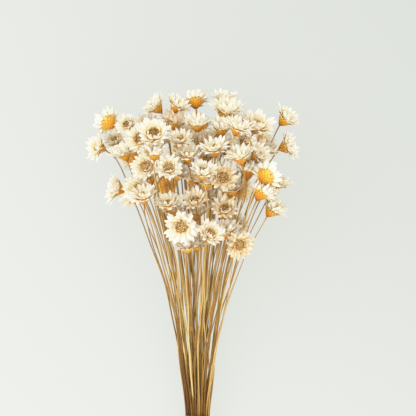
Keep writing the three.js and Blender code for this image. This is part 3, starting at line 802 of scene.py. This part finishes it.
def bract_faces():
    """Both sides of a blade and the narrow band round its edge."""
    top = grid_faces(BRACT_ROWS, BRACT_COLUMNS)
    under = BRACT_ROWS * BRACT_COLUMNS
    last = BRACT_COLUMNS - 1
    border = [row * BRACT_COLUMNS for row in range(BRACT_ROWS)]
    border += [(BRACT_ROWS - 1) * BRACT_COLUMNS + column for column in range(1, last)]
    border += [row * BRACT_COLUMNS + last for row in range(BRACT_ROWS - 1, -1, -1)]
    border += list(range(last - 1, 0, -1))
    faces = top + [tuple(index + under for index in face[::-1]) for face in top]
    for a, b in zip(border, border[1:] + border[:1]):
        faces.append((b, a, a + under, b + under))
    return faces


BRACT_FACES = bract_faces()


def add_bract(data, placed, shape):
    """One bract: a thin closed blade, channelled along its middle and curved along its length."""
    azimuth, length, width, base_radius, base_height, rise, curl, twist, shown, each = shape
    share = np.linspace(0, 1, BRACT_ROWS)
    along = np.linspace(*shown, BRACT_ROWS)
    half = width / 2 * np.interp(share, *BRACT_OUTLINE)
    angles = math.radians(rise) + math.radians(curl) * (share - BRACT_STRAIGHT_AT)
    step = length / (BRACT_ROWS - 1)
    cosines, sines, zeros = np.cos(angles), np.sin(angles), np.zeros(BRACT_ROWS)
    out = base_radius + step * np.concatenate([[0], np.cumsum(cosines[:-1])])
    up = base_height + step * np.concatenate([[0], np.cumsum(sines[:-1])])
    middle = np.stack([out, zeros, up], axis=1)
    forward = np.stack([cosines, zeros, sines], axis=1)
    turn = math.radians(twist) * share
    side = np.stack([-sines * np.sin(turn), np.cos(turn), cosines * np.sin(turn)], axis=1)
    lifted = np.cross(forward, side)
    columns, grain = [], []
    for column in range(BRACT_COLUMNS):
        across = 2 * column / (BRACT_COLUMNS - 1) - 1
        height = BRACT_CHANNEL * half * abs(across)
        columns.append(middle + (side * (half * across)[:, None] + lifted * height[:, None]))
        grain.append(np.stack([along, zeros + 1 - abs(across), zeros + each], axis=1))
    front = row_by_row(columns)
    colours = row_by_row(grain)
    back = front - np.repeat(lifted, BRACT_COLUMNS, axis=0) * BRACT_THICKNESS
    spin = np.array(Matrix.Rotation(azimuth, 3, "Z"))
    points = np.concatenate([front, back]) @ spin.T
    data.add(placed(points), BRACT_FACES, np.concatenate([colours, colours]))


def add_bract_row(data, placed, chance, row, habit):
    """One row of bracts, each of them a little different."""
    count, length, width, radius, height, rise, shown = row
    lowered, lean_side, lean, curl, tone = habit

    def spread(name):
        return chance.uniform(*BRACT_SPREAD[name])

    first = chance.uniform(*ANY_TURN)
    for index in range(count):
        azimuth = first + (index + spread("place")) / count * FULL_TURN
        shape = (
            azimuth,
            length * spread("length"),
            width * spread("width"),
            radius,
            height + spread("height"),
            rise - lowered + lean * math.cos(azimuth - lean_side) + spread("rise"),
            curl + spread("curl"),
            spread("twist"),
            shown,
            (1 - OWN_TONE) * tone + OWN_TONE * chance.random(),
        )
        add_bract(data, placed, shape)


def add_bracts(data, placed, chance, openness, tone):
    """The papery bracts round a head. openness lowers them from a cup towards a flat star, and
    tone runs from white to tan."""
    lean_side = chance.uniform(*ANY_TURN)
    lean = chance.uniform(*HEAD_LEAN)
    for row, curl in zip(BRACT_LAYERS, BRACT_CURLS):
        habit = (OPENING * (openness - 0.5), lean_side, lean, curl, tone)
        add_bract_row(data, placed, chance, row, habit)


# ---------- Discs ----------

DISC_RADIUS = 3.25
DISC_BASE = 4.9  # height of the disc's edge above the foot
DOME_RINGS = 4
DOME_SIDES = 20
DOME_HEIGHT = 0.55
DOME_DEPTH = 1.2  # how far the dome's closed underside reaches below the disc's edge
DOME_GRAIN = (0, 0, 0.9)  # at height 0 it has the brown that is seen between the florets
FLORETS = 56
GOLDEN_ANGLE = 2.39996  # radians from one floret to the next
FLORET_SHIFT = (-0.12, 0.12)  # radians that a floret is off the spiral
FLORET_REACH = 0.97  # of the disc's radius
FLORET_RADIUS_SPREAD = (0.94, 1.03)
FLORET_ROOT_RISE = 0.45  # how much higher the roots are in the middle than at the disc's edge
FLORET_HEIGHT = (0.3, 1.25)
FLORET_HEIGHT_INSIDE = 0.6  # factor on the height in the middle of the disc
FLORET_HEIGHT_GAIN = 0.7  # how much that factor grows to the disc's edge
FLORET_LEAN_OUT = 0.35  # slope away from the middle, at the disc's edge
FLORET_LEAN_SPREAD = (-0.5, 0.4)
FLORET_SIDES = 5
# The height on a floret, as a share of its own height, and its radius there.
FLORET_PROFILE = ((-0.1, 0.15), (0.55, 0.2), (0.9, 0.28), (1.0, 0.17))
FLORET_DIMPLE = 0.93  # height of the middle of its top, as a share of its own height
FLORET_DIMPLE_GRAIN = 0.6  # a little darker than the rim round it
FLORET_ROOT = 0.15  # how far its closed underside reaches below its root


def add_dome(data, placed):
    """The low closed dome that the florets stand on."""
    points = [(0, 0, DISC_BASE + DOME_HEIGHT)]
    for ring in range(1, DOME_RINGS + 1):
        radius = DISC_RADIUS * ring / DOME_RINGS
        height = DISC_BASE + DOME_HEIGHT * (1 - (ring / DOME_RINGS) ** 2)
        for side in range(DOME_SIDES):
            angle = side / DOME_SIDES * FULL_TURN
            points.append((radius * math.cos(angle), radius * math.sin(angle), height))
    points.append((0, 0, DISC_BASE - DOME_DEPTH))
    edge = 1 + (DOME_RINGS - 1) * DOME_SIDES
    faces = []
    for side in range(DOME_SIDES):
        after = (side + 1) % DOME_SIDES
        faces.append((0, 1 + side, 1 + after))
        for ring in range(DOME_RINGS - 1):
            a = 1 + ring * DOME_SIDES + side
            b = 1 + ring * DOME_SIDES + after
            faces.append((a, a + DOME_SIDES, b + DOME_SIDES, b))
        faces.append((edge + after, edge + side, len(points) - 1))
    data.add(placed(np.array(points)), faces, np.array([DOME_GRAIN] * len(points)))


def add_floret(data, placed, each, angle, radius, tall, lean, out):
    """One floret: a small bud on a stalk, dimpled at its top."""
    root = DISC_BASE + FLORET_ROOT_RISE * (1 - out**2)
    base = Vector((radius * math.cos(angle), radius * math.sin(angle), root))
    axis = Vector((math.cos(angle) * lean, math.sin(angle) * lean, 1)).normalized()
    side = axis.orthogonal().normalized()
    up = axis.cross(side)
    points, grain = [], []
    for height, width in FLORET_PROFILE:
        for k in range(FLORET_SIDES):
            around = k / FLORET_SIDES * FULL_TURN
            across = side * math.cos(around) + up * math.sin(around)
            points.append(base + axis * tall * height + across * width)
            grain.append((max(0, height), out, each))
    points.append(base + axis * tall * FLORET_DIMPLE)
    grain.append((FLORET_DIMPLE_GRAIN, out, each))
    points.append(base - axis * FLORET_ROOT)
    grain.append((0, out, each))
    rings = len(FLORET_PROFILE)
    rim = (rings - 1) * FLORET_SIDES
    dimple = rings * FLORET_SIDES
    faces = grid_faces(rings, FLORET_SIDES, closed=True)
    for k in range(FLORET_SIDES):
        after = (k + 1) % FLORET_SIDES
        faces.append((rim + k, rim + after, dimple))
        faces.append((after, k, dimple + 1))
    data.add(placed(np.array(points)), faces, np.array(grain))


def add_disc(data, placed, chance, aged):
    """The disc: a low dome covered in florets that follow a sunflower spiral. aged browns them."""
    add_dome(data, placed)
    for index in range(FLORETS):
        out = math.sqrt((index + 0.5) / FLORETS)
        angle = index * GOLDEN_ANGLE + chance.uniform(*FLORET_SHIFT)
        radius = DISC_RADIUS * FLORET_REACH * out * chance.uniform(*FLORET_RADIUS_SPREAD)
        tall = chance.uniform(*FLORET_HEIGHT) * (FLORET_HEIGHT_INSIDE + FLORET_HEIGHT_GAIN * out)
        lean = FLORET_LEAN_OUT * out + chance.uniform(*FLORET_LEAN_SPREAD)
        each = min(1, chance.random() + aged)
        add_floret(data, placed, each, angle, radius, tall, lean, out)


# ---------- Placing a head ----------

PAPER_CLEARANCE = 0.5 * MM  # height below which paper bends flat on the surface


def on_surface(points):
    """Points that would be under the surface, bent up to lie just on it."""
    low = np.minimum(points[:, 2], PAPER_CLEARANCE)
    bent = PAPER_CLEARANCE * np.exp(low / PAPER_CLEARANCE - 1)
    points[:, 2] = np.where(points[:, 2] < PAPER_CLEARANCE, bent, points[:, 2])
    return points


def placing(flower, spin):
    """Turns millimetres of a standing head into its place in the frame."""
    turn = flower["look"].to_track_quat("Z", "Y").to_matrix() @ Matrix.Rotation(spin, 3, "Z")
    matrix = np.array(turn) * flower["scale"] * MM
    foot = np.array(flower["foot"])
    return lambda points: on_surface(points @ matrix.T + foot)


# ---------- The flowers ----------

FIRST_SEED = 1000
SEEDS_PER_NODE = 10

# How far a head has opened, from a cup at 0 to a flat star at 1. The others get a random value.
OPENNESS_RANGE = (0.15, 0.75)
OPENNESS = {
    "flower_03": 0.2,
    "flower_07": 0.15,
    "flower_10": 0.2,
    "flower_11": 0.1,
    "flower_12": 0.15,
    "flower_15": 0.35,
    "flower_21": 0.1,
    "flower_22": 0.3,
    "flower_23": 0.15,
    "flower_25": 0.4,
    "flower_27": 0.15,
    "flower_29": 0.85,
    "flower_31": 0.25,
    "flower_32": 0.75,
    "flower_33": 0.85,
    "flower_pair_17": 0.3,
    "flower_pair_18": 0.3,
}
# How tan the bracts are. Partly the heads' own tan with age, partly painted shade on heads that
# lie deep in the bunch; flower_32's 0 is painted light on a head that lies in shade.
USUAL_TONE = 0.25
TONE_SPREAD = 0.15
TONES = {
    "flower_21": 0.5,
    "flower_28": 0.9,
    "flower_32": 0.0,
    "flower_33": 0.9,
    "flower_pair_07": 0.55,
    "flower_pair_12": 0.8,
    "flower_pair_14": 0.85,
    "flower_pair_16": 0.75,
    "flower_pair_17": 0.7,
    "flower_pair_18": 0.85,
    "flower_pair_19": 0.5,
    "flower_pair_20": 0.6,
    "flower_pair_21": 0.6,
}
# How brown the disc is.
USUAL_DISC_AGE = 0
DISC_AGES = {
    "flower_03": 0.3,
    "flower_05": 0.4,
    "flower_33": 0.1,
    "flower_pair_17": 0.2,
    "flower_pair_18": 0.25,
}
# How brown the cone is. Mostly its age; flower_19's gold is painted light on a cone that lies in
# shade, and flower_pair_06's brown is partly painted shade.
USUAL_CONE_AGE = 0.5
CONE_AGES_AND_PAINTED_LIGHT = {
    "flower_01": 0.3,
    "flower_19": 0.0,
    "flower_20": 0.6,
    "flower_27": 0.2,
    "flower_30": 0.2,
    "flower_pair_06": 0.95,
    "flower_pair_12": 0.9,
}


def make_flowers(number, node):
    """The one or two flowers of a CAD node, as four pieces."""
    stems, cones, bracts, discs = MeshData(), MeshData(), MeshData(), MeshData()
    for side, flower in enumerate(flowers_of[node]):
        chance = random.Random(FIRST_SEED + SEEDS_PER_NODE * number + side)
        placed = placing(flower, chance.uniform(*ANY_TURN))
        add_stem(stems, flower, chance)
        add_cone(cones, placed, chance, CONE_AGES_AND_PAINTED_LIGHT.get(node, USUAL_CONE_AGE))
        add_bract_row(cones, placed, chance, COLLAR, COLLAR_HABIT)
        tone = TONES.get(node, USUAL_TONE) + chance.uniform(-TONE_SPREAD, TONE_SPREAD)
        openness = OPENNESS.get(node, chance.uniform(*OPENNESS_RANGE))
        add_bracts(bracts, placed, chance, openness, tone)
        add_disc(discs, placed, chance, DISC_AGES.get(node, USUAL_DISC_AGE))
    stems.make(f"{node}_stem", "stem", [node])
    cones.make(f"{node}_cone", "cone", [node])
    bracts.make(f"{node}_bracts", "bracts", [node])
    discs.make(f"{node}_disc", "disc", [node])


for number, node in enumerate(flower_nodes):
    make_flowers(number, node)

# ---------- The tie ----------

TIE_TURNS = 6.4
TIE_SAMPLES_PER_TURN = 40
TIE_SPARE_TURNS = 0.3  # room for the strip's own width, in turns
TIE_START = 0.65  # turns between the tie's lower edge and the first middle of the strip
TIE_TIGHTNESS = 0.94  # how close its turns lie, as a share of even ones
STRIP_SIDES = 10
STRIP_HALF_WIDTH = 0.95 * MM
STRIP_HALF_THICKNESS = 0.62 * MM
STRIP_INSET = 0.75 * MM  # from the outside of the CAD tie to the strip's middle
STRIP_WAVE = 0.12 * MM  # how far the strip lies in and out over the stems
STRIP_WAVES_PER_TURN = 5
STRIP_PHASE = 1
STRIP_GRAIN_LENGTH = 30  # what the strip's grain counts up to along it


def make_tie():
    """The strip of raffia, wound round the stems from the lower edge of the tie to the upper."""
    samples = int(TIE_TURNS * TIE_SAMPLES_PER_TURN)
    share = np.linspace(0, 1, samples)
    angle = share * TIE_TURNS * FULL_TURN
    wave = STRIP_WAVE * np.sin(STRIP_WAVES_PER_TURN * angle + STRIP_PHASE)
    radius = (tie_high.x - tie_low.x) / 2 - STRIP_INSET + wave
    pitch = (tie_high.y - tie_low.y) / (TIE_TURNS + TIE_SPARE_TURNS)
    x = tie_middle.x + radius * np.cos(angle)
    y = tie_low.y + pitch * TIE_START + share * TIE_TURNS * pitch * TIE_TIGHTNESS
    z = tie_middle.z + radius * np.sin(angle)
    centre = np.stack([x, y, z], axis=1)
    outward = np.stack([np.cos(angle), np.zeros(samples), np.sin(angle)], axis=1)
    along_stems = np.tile((0.0, 1.0, 0.0), (samples, 1))
    columns, grain = [], []
    for side in range(STRIP_SIDES):
        around = side / STRIP_SIDES * FULL_TURN
        wide = STRIP_HALF_WIDTH * math.cos(around)
        thick = STRIP_HALF_THICKNESS * math.sin(around)
        columns.append(centre + along_stems * wide + outward * thick)
        round_strip = np.full(samples, side / STRIP_SIDES)
        grain.append(np.stack([share * STRIP_GRAIN_LENGTH, round_strip, share], axis=1))
    data = MeshData()
    data.add(row_by_row(columns), tube_faces(samples, STRIP_SIDES), row_by_row(grain))
    data.make("raffia_winding", "raffia", [TIE])


make_tie()

# ---------- Surface and lights ----------

SURFACE_HALF = 6.0  # half the side of the square surface
WORLD_COLOUR = (1.0, 0.965, 0.865, 1)
WORLD_STRENGTH = 1.8
LAMP_SIZE = 1.2
LIT_MIDDLE = Vector((tie_middle.x, tie_high.y + 110 * MM, 40 * MM))  # the middle of the heads

surface_mesh = bpy.data.meshes.new("surface")
surface_corners = [
    (x * SURFACE_HALF, y * SURFACE_HALF, 0) for x, y in ((-1, -1), (1, -1), (1, 1), (-1, 1))
]
surface_mesh.from_pydata(surface_corners, [], [(0, 1, 2, 3)])
surface_mesh.materials.append(surface_material())
surface = bpy.data.objects.new("surface", surface_mesh)
bpy.context.scene.collection.objects.link(surface)

world = bpy.data.worlds.new("soft_light")
world.use_nodes = True
background = world.node_tree.nodes["Background"]
background.inputs["Color"].default_value = WORLD_COLOUR
background.inputs["Strength"].default_value = WORLD_STRENGTH
bpy.context.scene.world = world


def add_light(name, place, power, colour):
    """A large square lamp that is aimed at the heads."""
    light = bpy.data.lights.new(name, "AREA")
    light.shape = "SQUARE"
    light.size = LAMP_SIZE
    light.energy = power
    light.color = colour
    lamp = bpy.data.objects.new(name, light)
    bpy.context.scene.collection.objects.link(lamp)
    lamp.location = place
    lamp.rotation_euler = (LIT_MIDDLE - Vector(place)).to_track_quat("-Z", "Y").to_euler()


add_light("window", (-1.0, 0.4, 1.0), power=10, colour=(1.0, 0.985, 0.96))
add_light("fill", (1.0, -0.2, 1.3), power=3, colour=(0.95, 0.98, 1.0))
